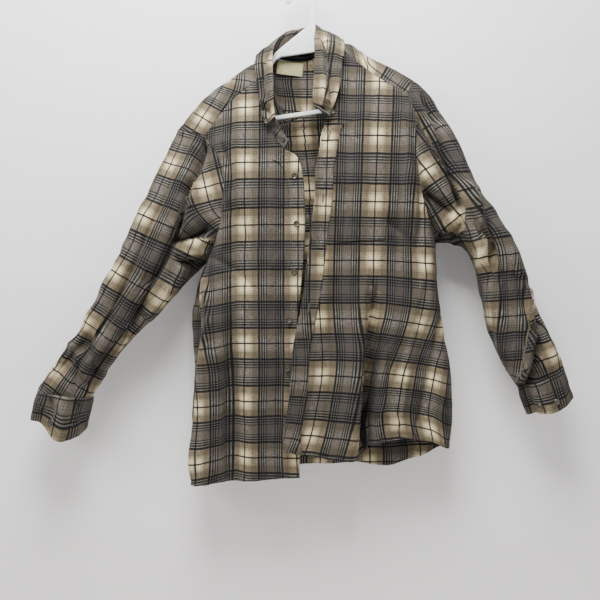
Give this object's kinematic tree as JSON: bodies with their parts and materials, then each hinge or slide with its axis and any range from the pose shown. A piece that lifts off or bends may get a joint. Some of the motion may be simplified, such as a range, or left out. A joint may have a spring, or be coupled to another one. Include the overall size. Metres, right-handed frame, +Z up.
{
  "type": "flannel shirt on a plastic hanger",
  "caption": "Long-sleeved plaid flannel shirt hanging open on a moulded plastic hanger with a hook.",
  "frame": {"origin": "inside top of the hanger's hook, where a rod carries it", "axes": "+Z up, -Y towards the viewer and out of the shirt's front, +X towards the wearer's left sleeve"},
  "size_m": [1.0195, 0.1133, 0.977],
  "materials": {
    "plaid_flannel": "brushed cotton, matt",
    "label_tape": "smooth woven tape",
    "button_plastic": "polished",
    "hanger_plastic": "smooth moulded"
  },
  "bodies": {
    "root": {"right_front": "plaid_flannel", "left_front": "plaid_flannel", "back": "plaid_flannel", "yoke": "plaid_flannel", "right_sleeve": "plaid_flannel", "left_sleeve": "plaid_flannel", "right_cuff": "plaid_flannel", "left_cuff": "plaid_flannel", "right_placket": "plaid_flannel", "left_placket": "plaid_flannel", "button_band": "plaid_flannel", "buttonhole_band": "plaid_flannel", "chest_pocket": "plaid_flannel", "collar_stand": "plaid_flannel", "collar_leaf": "plaid_flannel", "neck_label": "label_tape", "front_button_1": "button_plastic", "front_button_2": "button_plastic", "front_button_3": "button_plastic", "front_button_4": "button_plastic", "front_button_5": "button_plastic", "front_button_6": "button_plastic", "stand_button": "button_plastic", "right_collar_button": "button_plastic", "left_collar_button": "button_plastic", "right_cuff_button_1": "button_plastic", "right_cuff_button_2": "button_plastic", "left_cuff_button_1": "button_plastic", "left_cuff_button_2": "button_plastic", "hanger": "hanger_plastic"}
  },
  "joints": []
}
